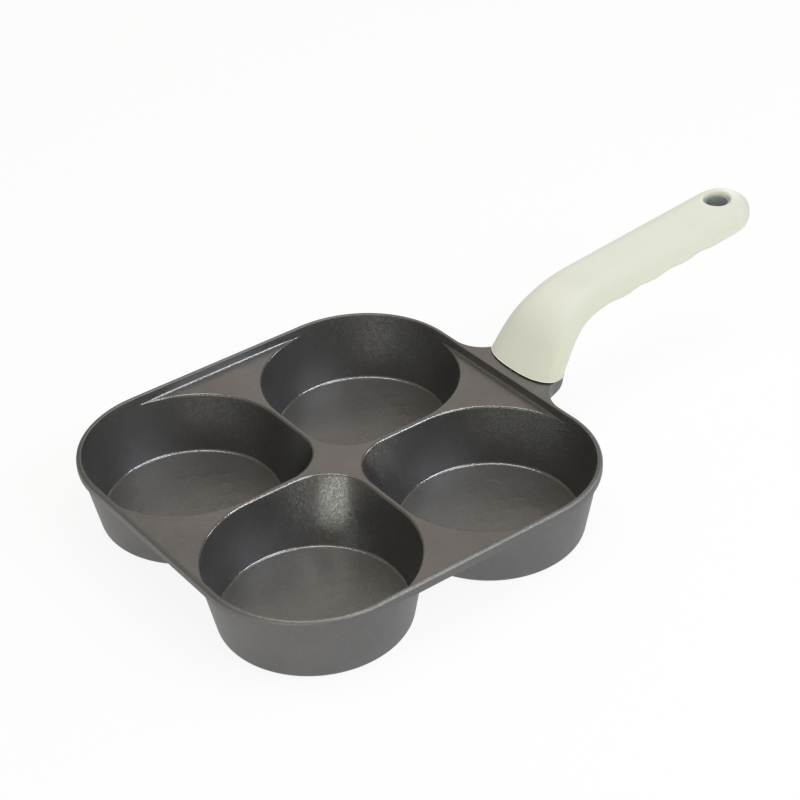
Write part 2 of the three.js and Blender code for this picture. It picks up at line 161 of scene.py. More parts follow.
panSize = dict(
    middleY=-76.28, cupSpacing=98.0, mouthRadius=47.7, cornerRadius=23.5, draft=10.7,
    floorTop=3.4, floorFillet=1.5, wall=1.6, baseFillet=3.6,
    deckTop=32.6, deckUnder=30.0, mouthRound=1.2, trayFillet=1.3,
    rimTop=36.9, rimThickness=2.4, rimRound=0.5, rimOuterRound=1.6,
    lipBottom=32.0, lipRound=1.2, lipFillet=1.0, waistInset=2.7,
    waistProfile=((-0.5, 0.0), (-0.15, 0.15), (0.0, 0.5), (0.0, 0.9)),
    recessRadius=36.3, recessTop=1.1, recessEdge=0.25, underFillet=2.0, slotFillet=0.6,
    lugWidth=43.2, lugRootRadius=17.0, lugEndRadius=19.0, lugTurn=75.0, lugAxis=11.2,
    lugThickness=8.0, lugEndThickness=1.4, lugCorner=2.2,
    # how the rounds run out where a cup's wall becomes the rim's: degrees, millimetres and shares
    blend=dict(deck=7.0, plainBelow=1.2, plainAbove=1.7, roundRoom=0.85, leastRound=0.02,
               waist=(12.0, 22.0), plainLow=26.5, plainGap=1.3, leastFillet=0.05,
               slotGap=(0.2, 4.0), slotRoom=0.9, lugCorner=6.0),
    steps=dict(columns=288, floor=8, wall=5, round=6, base=6, ceiling=5, plain=10,
               lip=3, under=9, rim=3, corner=4),
)
p = panSize
half = p["cupSpacing"] / 2
draftTan = math.tan(math.radians(p["draft"]))
cupDepth = p["deckTop"] - p["floorTop"]
floorRadius = p["mouthRadius"] - cupDepth * draftTan
rimInner = p["mouthRadius"] + (p["rimTop"] - p["deckTop"]) * draftTan
rimReach = rimInner + p["rimThickness"]
waistReach = rimReach - p["waistInset"] + p["waistProfile"][0][0]
flange = p["rimTop"] - p["lipBottom"]
lugTurn = math.radians(p["lugTurn"])
lugSide = p["lugWidth"] / 2
lugRoot = lugSide + p["lugRootRadius"] * math.sin(lugTurn)
lugWaist = p["lugRootRadius"] * (1 - math.cos(lugTurn))
lugEnd = lugWaist + p["lugEndRadius"] * (1 - math.cos(lugTurn))


# the cup's mouth: round, with one squared quarter that faces the pan's middle
def mouthReach(turn):
    alongX, alongY = -math.cos(turn), -math.sin(turn)
    if alongX <= 0 or alongY <= 0:
        return p["mouthRadius"]
    corner = p["mouthRadius"] - p["cornerRadius"]
    side = p["mouthRadius"] / max(alongX, alongY)
    if side * min(alongX, alongY) <= corner:
        return side
    toCorner = corner * (alongX + alongY)
    return toCorner + math.sqrt(toCorner ** 2 - 2 * corner ** 2 + p["cornerRadius"] ** 2)


def wallLean(turn):
    return math.atan2(mouthReach(turn) - floorRadius, cupDepth)


def outerReach(turn, z):
    lean = wallLean(turn)
    return floorRadius + (z - p["floorTop"]) * math.tan(lean) + p["wall"] / math.cos(lean)


# rounded square that the rim follows: round at the outer corner, straight along both sides
def outline(turn, reach):
    if turn > math.pi / 2:
        return Vector((-half * math.tan(turn - math.pi / 2), reach))
    if turn < 0:
        return Vector((reach, half * math.tan(turn)))
    return Vector((reach * math.cos(turn), reach * math.sin(turn)))


# how far the lug reaches out past the rim, at a distance from the pan's middle line
def lugReach(x):
    if x >= lugRoot:
        return 0.0
    if x >= lugSide:
        angle = math.asin((lugRoot - x) / p["lugRootRadius"])
        return p["lugRootRadius"] * (1 - math.cos(angle))
    sine = math.sin(lugTurn) - (lugSide - x) / p["lugEndRadius"]
    if sine <= 0:
        return lugEnd
    return lugEnd - p["lugEndRadius"] * (1 - math.cos(math.asin(sine)))


def lugDepth(past):
    if past <= 0:
        return flange
    if past <= p["lugAxis"]:
        return between(flange, p["lugThickness"], ease(past, 0, p["lugAxis"]))
    part = min((past - p["lugAxis"]) / (lugEnd - p["lugAxis"]), 1.0)
    return between(p["lugEndThickness"], p["lugThickness"], math.sqrt(1 - part * part))


def polar(turn, reach, z):
    away = Vector((math.cos(turn), math.sin(turn)))
    return Vector((away.x * reach, away.y * reach, z))


def lift(spot, z):
    return Vector((spot.x, spot.y, z))


# round between a level face and a leaning wall, as (reach, height) pairs going up the wall
def footRound(reach, z, lean, radius, steps):
    middle = reach - radius * (1 - math.sin(lean)) / math.cos(lean)
    angles = [between(-math.pi / 2, -lean, k / steps) for k in range(steps + 1)]
    return [(middle + radius * math.cos(a), z + radius + radius * math.sin(a)) for a in angles]


# the same at the top of a wall: over an edge, or into the corner under a ceiling
def edgeRound(reach, z, lean, radius, steps):
    middle = reach + radius * (1 - math.sin(lean)) / math.cos(lean)
    angles = [between(math.pi - lean, math.pi / 2, k / steps) for k in range(steps + 1)]
    return [(middle + radius * math.cos(a), z - radius + radius * math.sin(a)) for a in angles]


# angle past the round outer quarter of a cup, below zero on it
def pastCorner(turn):
    return max(turn - math.pi / 2, -turn)


# one column inside: floor, fillet, wall, mouth edge and deck; on the rim also the tray's fillet
def insideColumn(turn, onRim):
    b, n = p["blend"], p["steps"]
    lean, past = wallLean(turn), pastCorner(turn)
    fit = onDeck = 1.0
    if onRim:
        room = p["mouthRadius"] * (1 - math.cos(max(past, 0.0)))
        share = room / (b["roundRoom"] * (p["mouthRound"] + p["trayFillet"]))
        fit = max(share / (1 + share ** 4) ** 0.25, b["leastRound"])
        onDeck = ease(past, 0, math.radians(b["deck"]))
    wallAt = lambda z: polar(turn, floorRadius + (z - p["floorTop"]) * math.tan(lean), z)
    foot = footRound(floorRadius, p["floorTop"], lean, p["floorFillet"], n["floor"])
    mouthEdge = edgeRound(mouthReach(turn), p["deckTop"], lean, p["mouthRound"] * fit, n["round"])
    trayFoot = footRound(p["mouthRadius"], p["deckTop"], math.radians(p["draft"]),
                         p["trayFillet"] * fit, n["round"])
    plainLow, plainHigh = p["deckTop"] - b["plainBelow"], p["deckTop"] + b["plainAbove"]
    last = len(mouthEdge) + len(trayFoot) - 1
    plain = [wallAt(between(plainLow, plainHigh, k / last)) for k in range(last + 1)]
    wallFoot, wallTop = foot[-1][1], between(plainLow, mouthEdge[0][1], onDeck)
    column = [polar(turn, r, z) for r, z in foot]
    column += [wallAt(between(wallFoot, wallTop, k / n["wall"])) for k in range(1, n["wall"])]
    column += [bare.lerp(polar(turn, *shaped), onDeck) for bare, shaped in zip(plain, mouthEdge)]
    if not onRim:
        return column + [planePoint(turn, trayFoot[0][0], p["deckTop"])], []
    tray = [lift(outline(turn, r), z) for r, z in trayFoot]
    tray = [bare.lerp(shaped, onDeck) for bare, shaped in zip(plain[len(mouthEdge):], tray)]
    return column + tray[:1], tray[1:]


# one column beneath: recess, base, wall and ceiling; on the rim also the waist below the lip
def underColumn(turn, onRim, normal):
    b, n = p["blend"], p["steps"]
    lean, past = wallLean(turn), pastCorner(turn)
    skin = lambda z: polar(turn, outerReach(turn, z), z)
    ceiling, onWaist = p["deckUnder"], 1.0
    if onRim:
        onWaist = ease(past, *[math.radians(angle) for angle in b["waist"]])
        gap = waistReach / math.cos(max(past, 0.0)) - outerReach(turn, ceiling)
        radius = min(max(gap, b["leastFillet"]), p["underFillet"])
    else:
        away = polar(turn, 1.0, 0.0)
        gap = half / max(abs(away.x), abs(away.y)) - outerReach(turn, ceiling)
        radius = between(p["slotFillet"], p["underFillet"], ease(gap, *b["slotGap"]))
        ceiling = min(ceiling, ceiling - (b["slotRoom"] * radius - gap) / math.tan(lean))
    recess, cut = p["recessRadius"], p["recessEdge"]
    foot = footRound(outerReach(turn, 0), 0.0, lean, p["baseFillet"], n["base"])
    plainHigh = p["lipBottom"] - b["plainGap"]
    plain = [skin(between(b["plainLow"], plainHigh, k / n["plain"])) for k in range(n["plain"] + 1)]
    fillet = edgeRound(outerReach(turn, ceiling), ceiling, lean, radius, n["ceiling"])
    fillet = [bare.lerp(polar(turn, *shaped), onWaist) for bare, shaped in zip(plain, fillet)]
    wallFoot, wallTop = foot[-1][1], fillet[0].z
    step = [(recess, p["recessTop"]), (recess, cut), (recess + cut, 0.0)]
    column = [polar(turn, r, z) for r, z in step + foot]
    column += [skin(between(wallFoot, wallTop, k / n["wall"])) for k in range(1, n["wall"])]
    column += fillet
    if not onRim:
        return column + [planePoint(turn, waistReach, ceiling)], []
    side = outline(turn, rimReach - p["waistInset"])
    sideAt = lambda offset, z: Vector((side.x + normal.x * offset, side.y + normal.y * offset, z))
    waist = [sideAt(offset, p["deckUnder"] + rise) for offset, rise in p["waistProfile"]]
    waist = [bare.lerp(shaped, onWaist) for bare, shaped in zip(plain[len(fillet):], waist)]
    lip, radius = p["lipBottom"], p["lipFillet"]
    skirt = waist[1:]
    for k, (r, z) in enumerate(edgeRound(outerReach(turn, lip), lip, lean, radius, n["lip"])):
        a = math.pi / 2 * k / n["lip"]
        onSide = sideAt(radius * (1 - math.cos(a)), lip - radius + radius * math.sin(a))
        skirt.append(polar(turn, r, z).lerp(onSide, onWaist))
    return column + waist[:1], skirt


# one column of the lip: the rim from the tray to the edge, and the lip's or the lug's underside
def lipColumn(tray, skirt, turn, edge, facing, onLug):
    n = p["steps"]
    pastRim = lambda spot: spot.y - rimReach if onLug else 0.0
    depth = lugDepth(pastRim(edge))
    bottom = p["rimTop"] - depth
    onLugEdge = ease(pastRim(edge), 0, p["blend"]["lugCorner"])
    corner = min(between(p["lipRound"], p["lugCorner"], onLugEdge), depth / 2)
    start, inner = skirt[-1].to_2d(), edge - facing * corner
    for k in range(1, n["under"] + 1):
        spot = start.lerp(inner, k / n["under"])
        skirt.append(lift(spot, p["rimTop"] - lugDepth(pastRim(spot))))
    skirt[-1].z = bottom
    wallTop = edgeRound(rimInner, p["rimTop"], math.radians(p["draft"]), p["rimRound"], n["rim"])
    wallTop = [lift(outline(turn, r), z) for r, z in wallTop]
    rim = tray + [tray[-1].lerp(wallTop[0], 0.5)] + wallTop
    for k in range(n["rim"] + 1):
        a = math.pi / 2 * (1 - k / n["rim"])
        spot = edge - facing * p["rimOuterRound"] * (1 - math.cos(a))
        rim.append(lift(spot, p["rimTop"] - p["rimOuterRound"] * (1 - math.sin(a))))
    for k in range(n["corner"] + 1):
        a = -math.pi / 2 * k / n["corner"]
        spot = edge - facing * corner * (1 - math.cos(a))
        rim.append(lift(spot, bottom + corner * (1 + math.sin(a))))
    return rim, skirt


# the rim's outer edge by column, and which way it faces
def rimEdge(turns, withLug):
    edge, facing = [], []
    for turn in turns:
        spot = outline(turn, rimReach)
        if withLug and turn > math.pi / 2:
            spot.y += lugReach(half + spot.x)
        edge.append(spot)
    for i, turn in enumerate(turns):
        if i in (0, len(turns) - 1) or 0 <= turn <= math.pi / 2:
            facing.append(outlineNormal(turn))
        else:
            along = edge[i + 1] - edge[i - 1]
            facing.append(Vector((along.y, -along.x)).normalized())
    return edge, facing


# all columns of one quarter; the first half, on the rim, go on over the tray and under the lip
def quarterColumns(withLug):
    count = p["steps"]["columns"]
    turns = [math.radians(-45 + 360 * i / count) for i in range(count)]
    edge, facing = rimEdge(turns[:count // 2 + 1], withLug)
    top, rim, base, skirt = [], [], [], []
    for i, turn in enumerate(turns):
        onRim = i < len(edge)
        normal = facing[i] if onRim and not withLug else outlineNormal(turn)
        inside, tray = insideColumn(turn, onRim)
        under, waist = underColumn(turn, onRim, normal)
        top.append(inside)
        base.append(under)
        if onRim:
            onLug = withLug and turn > math.pi / 2
            overRim, underLip = lipColumn(tray, waist, turn, edge[i], facing[i], onLug)
            rim.append(overRim)
            skirt.append(underLip)
    return top, rim, base, skirt


def outlineNormal(turn):
    if turn > math.pi / 2:
        return Vector((0, 1))
    if turn < 0:
        return Vector((1, 0))
    return Vector((math.cos(turn), math.sin(turn)))


# where a column meets the two middle planes of the pan
def planePoint(turn, trayReach, z):
    degrees = math.degrees(turn)
    if degrees <= 180:
        return Vector((-half, trayReach * math.tan(math.pi - turn), z))
    if degrees <= 225:
        return Vector((-half, -half * math.tan(turn - math.pi), z))
    if degrees <= 270:
        return Vector((-half * math.tan(1.5 * math.pi - turn), -half, z))
    return Vector((trayReach * math.tan(turn - 1.5 * math.pi), -half, z))


def toPan(spot, side):
    return Vector((half + spot.x, p["middleY"] + side * (half + spot.y), spot.z))


def ringsOf(columns, side):
    rings = []
    for k in range(len(columns[0])):
        rings.append([toPan(column[k], side) for column in columns])
    return rings


def castQuarter(name, side, withLug):
    top, rim, base, skirt = quarterColumns(withLug)
    count = p["steps"]["columns"]
    sheets = []
    for label, full, part in (("Inside", top, rim), ("Under", base, skirt)):
        piece = startRing(name + label, count, "NGON")
        rings = ringsOf(full, side)
        placeRing(piece, rings[0], 0)
        extrudeRings(piece, rings[1:], 1)
        keepColumns(piece, count // 2)
        extrudeRings(piece, ringsOf(part, side), len(rings))
        bpy.ops.object.mode_set(mode="OBJECT")
        sheets.append(piece)
    return sheets


def makePanBody():
    sheets = castQuarter("rear", 1, True) + castQuarter("front", -1, False)
    clearSelection()
    for sheet in sheets:
        sheet.select_set(True)
    bpy.context.view_layer.objects.active = sheets[0]
    bpy.ops.object.join()
    body = bpy.context.object
    body.name = "panBody"
    body.data.name = "panBody"
    addModifier(body, "MIRROR", use_axis=(True, False, False), use_mirror_merge=True,
                merge_threshold=0.01 * mm)
    closeUp(body)
    return body


# handle, moulded: crown and belly are measured from a bent centreline

handleSize = dict(
    axisY=34.832, footZ=36.9, clearance=0.8, rise=54.4, riseLength=14.4, bendRadius=39.5,
    grip=5.3, gripLength=105.2, tipLength=16.5,
    width=(44.8, 29.2, 30.8), crown=(7.4, 7.9, 8.7), belly=(9.0, 11.1, 10.2),
    crownPower=(2.5, 4.5, 2.6), bellyPower=2.5,
    fingerPitch=19.4, fingerDepth=1.3, fingerCount=4, lastFinger=40.7,
    holeFromTip=16.4, holeRadius=6.5, holeLip=1.2, holeDrop=2.22, holePatch=14.0, footRound=0.5,
    lowestFoot=-30.0,
    steps=dict(side=96, face=44, lip=6, patch=12, grip=60, bend=26, rise=12, foot=4, halvings=50,
               bellyRing=100, gripRing=200),
)
h = handleSize
riseAngle = math.radians(h["rise"])
gripAngle = math.radians(h["grip"])
bendLength = h["bendRadius"] * (riseAngle - gripAngle)
flareLength = h["riseLength"] + bendLength
handleLength = flareLength + h["gripLength"]
holeAt = handleLength - h["holeFromTip"]
patchAt = holeAt - h["holePatch"]
footMatrix = Matrix.Translation((0, h["axisY"] * mm, h["footZ"] * mm))
axisMatrix = footMatrix @ Matrix.Rotation(riseAngle - math.pi / 2, 4, "X")


def centreline(t):
    slope = riseAngle - min(max(t - h["riseLength"], 0.0), bendLength) / h["bendRadius"]
    straight = min(t, h["riseLength"])
    along = max(t - flareLength, 0.0)
    y = straight * math.cos(riseAngle) + h["bendRadius"] * (math.sin(riseAngle) - math.sin(slope))
    z = straight * math.sin(riseAngle) + h["bendRadius"] * (math.cos(slope) - math.cos(riseAngle))
    y = h["axisY"] + y + along * math.cos(gripAngle)
    z = h["footZ"] + z + along * math.sin(gripAngle)
    return y, z, slope


def alongHandle(sizes, t):
    foot, grip, tip = sizes
    flared = foot + (grip - foot) * ease(t, 0, flareLength)
    return flared + (tip - grip) * ease(t, flareLength, handleLength)


def fingerGroove(t):
    turns = (handleLength - h["lastFinger"] + h["fingerPitch"] / 2 - t) / h["fingerPitch"]
    if turns <= 0 or turns >= h["fingerCount"]:
        return 0.0
    return h["fingerDepth"] * (1 - math.cos(2 * math.pi * turns)) / 2


def sectionSize(t):
    past = min(max(t - (handleLength - h["tipLength"]), 0.0) / h["tipLength"], 1.0)
    tall = math.sqrt(max(1 - past ** 3, 0.0))
    halfWidth = alongHandle(h["width"], t) / 2 * math.sqrt(max(1 - past * past, 0.0))
    belly = alongHandle(h["belly"], t) - fingerGroove(t)
    return halfWidth, alongHandle(h["crown"], t) * tall, belly * tall


def crownHeight(x, t):
    halfWidth, crown, belly = sectionSize(t)
    side = min(abs(x) / max(halfWidth, 1e-6), 1.0)
    return crown * math.sqrt(1 - side ** alongHandle(h["crownPower"], t))


def bellyHeight(x, t):
    halfWidth, crown, belly = sectionSize(t)
    side = min(abs(x) / max(halfWidth, 1e-6), 1.0)
    return -belly * (1 - side ** h["bellyPower"]) ** (1 / h["bellyPower"])


def onHandle(x, t, height):
    y, z, slope = centreline(t)
    return Vector((x, y - height * math.sin(slope), z + height * math.cos(slope)))


# how far the tip's edge is from the middle of the hang hole
def tipReach(turn):
    low, high = h["holeRadius"], 2 * h["tipLength"]
    for _ in range(h["steps"]["halvings"]):
        middle = (low + high) / 2
        inside = abs(middle * math.sin(turn)) < sectionSize(holeAt + middle * math.cos(turn))[0]
        low, high = (middle, high) if inside else (low, middle)
    return low


# rings round the hang hole on one face of the tip: the soft lip, then out to the edge and the grip
def holeRings(height, sign):
    n = h["steps"]
    sides, faces = n["side"], n["face"]
    sideWidth = sectionSize(patchAt)[0]
    corner = math.atan2(sideWidth, -h["holePatch"])
    columns = []
    for i in range(sides + faces):
        if i <= sides:
            turn = corner * (1 - 2 * i / sides)
            reach = tipReach(turn)
            end = Vector((reach * math.sin(turn), holeAt + reach * math.cos(turn)))
        else:
            bend = -math.pi / 2 + math.pi * (i - sides) / faces
            end = Vector((sideWidth * math.sin(bend), patchAt))
            turn = math.atan2(end.x, -h["holePatch"])
        away = Vector((math.sin(turn), math.cos(turn)))
        column = []
        for k in range(n["lip"] + 1):
            a = math.pi / 2 * k / n["lip"]
            reach = h["holeRadius"] + h["holeLip"] * (1 - math.cos(a))
            spot = Vector((0, holeAt)) + away * reach
            drop = h["holeDrop"] * (1 - math.sin(a))
            column.append(onHandle(spot.x, spot.y, height(spot.x, spot.y) - sign * drop))
        start = Vector((0, holeAt)) + away * (h["holeRadius"] + h["holeLip"])
        for k in range(1, n["patch"] + 1):
            spot = start.lerp(end, math.sin(math.pi / 2 * k / n["patch"]))
            level = height(spot.x, spot.y) if i > sides or k < n["patch"] else 0.0
            column.append(onHandle(spot.x, spot.y, level))
        columns.append(column)
    return [[column[k] for column in columns] for k in range(len(columns[0]))]


# one place of a ring round the grip, numbered over the crown and back under the belly
def gripPlace(number, t):
    faces = h["steps"]["face"]
    halfWidth = sectionSize(t)[0]
    onCrown = number <= faces
    bend = -math.pi / 2 + math.pi * (number if onCrown else 2 * faces - number) / faces
    x = halfWidth * math.sin(bend)
    level = crownHeight(x, t) if onCrown else bellyHeight(x, t)
    return onHandle(x, t, 0.0 if number in (0, faces) else level)


# how far along the handle a column comes down to a height
def footStation(number, z):
    low, high = h["lowestFoot"], h["riseLength"]
    for _ in range(h["steps"]["halvings"]):
        middle = (low + high) / 2
        low, high = (low, middle) if gripPlace(number, middle).z > z else (middle, high)
    return low


def gripRings():
    n = h["steps"]
    count = 2 * n["face"]
    foot = h["footZ"] + h["clearance"]
    stations = [footStation(i, foot + h["footRound"]) for i in range(count)]
    rings = []
    for k in range(1, n["grip"] + 1):
        t = between(patchAt, flareLength, k / n["grip"])
        rings.append([gripPlace(i, t) for i in range(count)])
    for k in range(1, n["bend"] + 1):
        t = between(flareLength, h["riseLength"], k / n["bend"])
        rings.append([gripPlace(i, t) for i in range(count)])
    for k in range(1, n["rise"] + 1):
        places = [between(h["riseLength"], station, k / n["rise"]) for station in stations]
        rings.append([gripPlace(i, places[i]) for i in range(count)])
    last = rings[-1]
    for k in range(1, n["foot"] + 1):
        a = math.pi / 2 * k / n["foot"]
        ring = []
        for i in range(count):
            along = last[(i + 1) % count] - last[i - 1]
            inward = Vector((along.y, -along.x, 0)).normalized()
            inset = h["footRound"] * (1 - math.cos(a))
            ring.append(last[i] + inward * inset + Vector((0, 0, -h["footRound"] * math.sin(a))))
        rings.append(ring)
    return rings


def makeHandle():
    n = h["steps"]
    sides, faces = n["side"], n["face"]
    handle = startRing("handleGrip", sides + faces, "NOTHING")
    crown = holeRings(crownHeight, 1)
    belly = holeRings(bellyHeight, -1)
    placeRing(handle, crown[0], 0)
    extrudeRings(handle, crown[1:], 1)
    pickRing(handle, 0)
    extrudeRings(handle, belly, n["bellyRing"])
    bpy.ops.mesh.select_all(action="SELECT")
    bpy.ops.mesh.remove_doubles(threshold=joinGap * mm)
    # the open edge of the tip goes on as the grip, so its columns are numbered again
    bm = bmesh.from_edit_mesh(handle.data)
    column = bm.verts.layers.int["column"]
    ring = bm.verts.layers.int["ring"]
    for v in bm.verts:
        v.select = False
    for e in bm.edges:
        if e.is_boundary:
            for v in e.verts:
                v.select = True
    for v in bm.verts:
        if v.select:
            if v[column] in (0, sides):
                v[column] = faces if v[column] == 0 else 0
            elif v[ring] < n["bellyRing"]:
                v[column] = v[column] - sides
            else:
                v[column] = 2 * faces - (v[column] - sides)
    bm.select_flush_mode()
    bmesh.update_edit_mesh(handle.data)
    extrudeRings(handle, gripRings(), n["gripRing"])
    bpy.ops.mesh.edge_face_add()
    bpy.ops.object.mode_set(mode="OBJECT")
    closeUp(handle)
    return handle


# hang hole liner, fasteners and base plates

# closed or open profile of (radius, height) pairs, spun about the Z axis
def spinProfile(name, profile, steps, closed, angle=360.0):
    clearSelection()
    bpy.ops.mesh.primitive_circle_add(vertices=len(profile), radius=10 * mm, fill_type="NOTHING")
    piece = bpy.context.object
    piece.name = name
    bpy.ops.object.mode_set(mode="EDIT")
    bpy.ops.mesh.select_mode(type="VERT")
    bm = bmesh.from_edit_mesh(piece.data)
    bm.verts.ensure_lookup_table()
    for v, (radius, z) in zip(bm.verts, profile):
        v.co = Vector((radius, 0, z)) * mm
    if not closed:
        ends = {bm.verts[0], bm.verts[len(profile) - 1]}
        bm.edges.remove(next(e for e in bm.edges if set(e.verts) == ends))
    bmesh.update_edit_mesh(piece.data)
    bpy.ops.mesh.select_all(action="SELECT")
    bpy.ops.mesh.spin(steps=steps, angle=math.radians(angle), center=(0, 0, 0), axis=(0, 0, 1))
    bpy.ops.object.mode_set(mode="OBJECT")
    closeUp(piece)
    return piece


def drum(name, radius, low, high, sides):
    clearSelection()
    middle = (0, 0, (low + high) / 2 * mm)
    bpy.ops.mesh.primitive_cylinder_add(vertices=sides, radius=radius * mm, depth=(high - low) * mm,
                                        location=middle)
    piece = bpy.context.object
    piece.name = name
    bpy.ops.object.transform_apply(location=True, rotation=True, scale=True)
    return piece


def bar(name, width, thickness, corner, low, high):
    clearSelection()
    bpy.ops.mesh.primitive_cube_add(size=1, location=(0, 0, (low + high) / 2 * mm))
    piece = bpy.context.object
    piece.name = name
    piece.scale = (width * mm, thickness * mm, (high - low) * mm)
    bpy.ops.object.transform_apply(location=True, rotation=True, scale=True)
    bpy.ops.object.mode_set(mode="EDIT")
    bm = bmesh.from_edit_mesh(piece.data)
    for e in bm.edges:
        along = e.verts[1].co - e.verts[0].co
        e.select = abs(along.z) > 0.9 * along.length
    bmesh.update_edit_mesh(piece.data)
    bpy.ops.mesh.bevel(offset=corner * mm, segments=5, affect="EDGES")
    bpy.ops.object.mode_set(mode="OBJECT")
    return piece


def moveTo(piece, matrix):
    pickOnly(piece)
    piece.matrix_world = matrix
    bpy.ops.object.transform_apply(location=True, rotation=True, scale=True)
    return piece


# square profile with its corners cut
def chamfered(inner, outer, low, high, cut):
    return [(inner + cut, low), (outer - cut, low), (outer, low + cut), (outer, high - cut),
            (outer - cut, high), (inner + cut, high), (inner, high - cut), (inner, low + cut)]


linerSize = dict(bore=10.8, wall=0.9, lipDepth=2.22, edge=0.25, steps=72)


def makeLiner():
    s = linerSize
    inner = s["bore"] / 2
    y, z, slope = centreline(holeAt)
    crown, belly = sectionSize(holeAt)[1:]
    low, high = s["lipDepth"] - belly, crown - s["lipDepth"]
    profile = chamfered(inner, inner + s["wall"], low, high, s["edge"])
    liner = spinProfile("hangHoleLiner", profile, s["steps"], True)
    return moveTo(liner, Matrix.Translation((0, y * mm, z * mm)) @ Matrix.Rotation(slope, 4, "X"))


screwSize = dict(
    shank=2.5, head=4.5, headFace=3.2, headTop=-9.239, headHeight=3.2, headBand=1.8, headEdge=0.2,
    chamfer=0.6, end=20.0, socket=3.0, socketDepth=1.8, pitch=0.8, threadDepth=0.35, threadFrom=9.9,
    domeSteps=5, steps=40,
)


def makeScrew():
    s = screwSize
    low = s["headTop"] - s["headHeight"]
    band = s["headTop"] - s["headBand"]
    profile = [(0, low), (s["headFace"], low)]
    for k in range(1, s["domeSteps"] + 1):
        a = math.pi / 2 * k / s["domeSteps"]
        reach = between(s["headFace"], s["head"], math.sin(a))
        profile.append((reach, between(low, band, 1 - math.cos(a))))
    top, edge = s["headTop"], s["headEdge"]
    profile += [(s["head"], top - edge), (s["head"] - edge, top), (s["shank"], top)]
    z = s["threadFrom"]
    profile.append((s["shank"], z - s["pitch"] / 2))
    while z < s["end"] - s["chamfer"]:
        profile += [(s["shank"] - s["threadDepth"], z), (s["shank"], z + s["pitch"] / 2)]
        z += s["pitch"]
    profile += [(s["shank"] - s["chamfer"], s["end"]), (0, s["end"])]
    screw = spinProfile("handleScrew", profile, s["steps"], False)
    key = drum("key", s["socket"] / math.sqrt(3), low - 1, low + s["socketDepth"], 6)
    cutWith(screw, key, "DIFFERENCE")
    return moveTo(screw, axisMatrix)


washerSize = dict(inner=2.8, outer=4.5, low=-8.939, high=-7.739, edge=0.12, split=10.0, steps=56)


def makeWasher():
    s = washerSize
    profile = chamfered(s["inner"], s["outer"], s["low"], s["high"], s["edge"])
    washer = spinProfile("lockWasher", profile, s["steps"], True, 360 - s["split"])
    pickOnly(washer)
    bpy.ops.object.mode_set(mode="EDIT")
    bpy.ops.mesh.select_all(action="DESELECT")
    bpy.ops.mesh.select_non_manifold()
    bpy.ops.mesh.edge_face_add()
    bpy.ops.object.mode_set(mode="OBJECT")
    closeUp(washer)
    return moveTo(washer, axisMatrix)


insertSize = dict(
    inner=2.8, outer=3.5, groove=0.5, slope=0.3, edge=0.2, low=9.6, length=11.0, steps=48,
)


def makeInsert():
    s = insertSize
    inner, outer, edge, slope = s["inner"], s["outer"], s["edge"], s["slope"]
    low, high, step = s["low"], s["low"] + s["length"], s["length"] / 3
    waist = outer - s["groove"]
    profile = [(inner, low), (outer - edge, low), (outer, low + edge), (outer, low + step),
               (waist, low + step + slope), (waist, high - step - slope), (outer, high - step),
               (outer, high - edge), (outer - edge, high), (inner, high)]
    insert = spinProfile("threadedInsert", profile, s["steps"], True)
    return moveTo(insert, axisMatrix)


plateSize = dict(
    radius=35.97, thickness=0.8, hole=3.5, pitch=9.6, margin=3.0, edge=0.12,
    rows=4, places=8, sides=120, holeSides=24,
)


# one perforated plate, copied under each cup
def makePlates():
    s = plateSize
    plate = drum("basePlate", s["radius"], 0.0, s["thickness"], s["sides"])
    limit = s["radius"] - s["margin"] - s["hole"]
    holes = []
    for row in range(-s["rows"], s["rows"] + 1):
        for place in range(-s["places"], s["places"] + 1):
            x = (place + row / 2) * s["pitch"]
            y = row * s["pitch"] * math.sqrt(3) / 2
            if s["hole"] < math.hypot(x, y) < limit:
                hole = drum("hole", s["hole"], -1, s["thickness"] + 1, s["holeSides"])
                hole.location = (x * mm, y * mm, 0)
                holes.append(hole)
    clearSelection()
    for hole in holes:
        hole.select_set(True)
    bpy.context.view_layer.objects.active = holes[0]
    bpy.ops.object.join()
    holes[0].location, first = (0, 0, 0), holes[0].location.copy()
    holes[0].data.transform(Matrix.Translation(first))
    cutWith(plate, holes[0], "DIFFERENCE")
    addModifier(plate, "BEVEL", width=s["edge"] * mm, segments=2, limit_method="ANGLE",
                angle_limit=math.radians(50))
    plates = []
    for nameY, sideY in (("Front", -1), ("Rear", 1)):
        for nameX, sideX in (("Left", -1), ("Right", 1)):
            pickOnly(plate)
            bpy.ops.object.duplicate(linked=False)
            copy = bpy.context.object
            copy.name = "basePlate" + nameY + nameX
            cup = Vector((sideX * half * mm, (p["middleY"] + sideY * half) * mm, 0))
            moveTo(copy, Matrix.Translation(cup))
            plates.append((copy, "base_plate_" + nameY.lower() + "_" + nameX.lower()))
    bpy.data.objects.remove(plate)
    return plates


seatSize = dict(
    tongue=(22.0, 8.0, 2.0), tongueFrom=-3.0, tongueTo=9.0, gap=0.3, socketFrom=-7.0,
    hole=2.8, counterbore=5.3, seat=-7.439, below=-19.0, insertHole=3.8, insertTop=20.9,
    sides=40, counterboreSides=48,
)


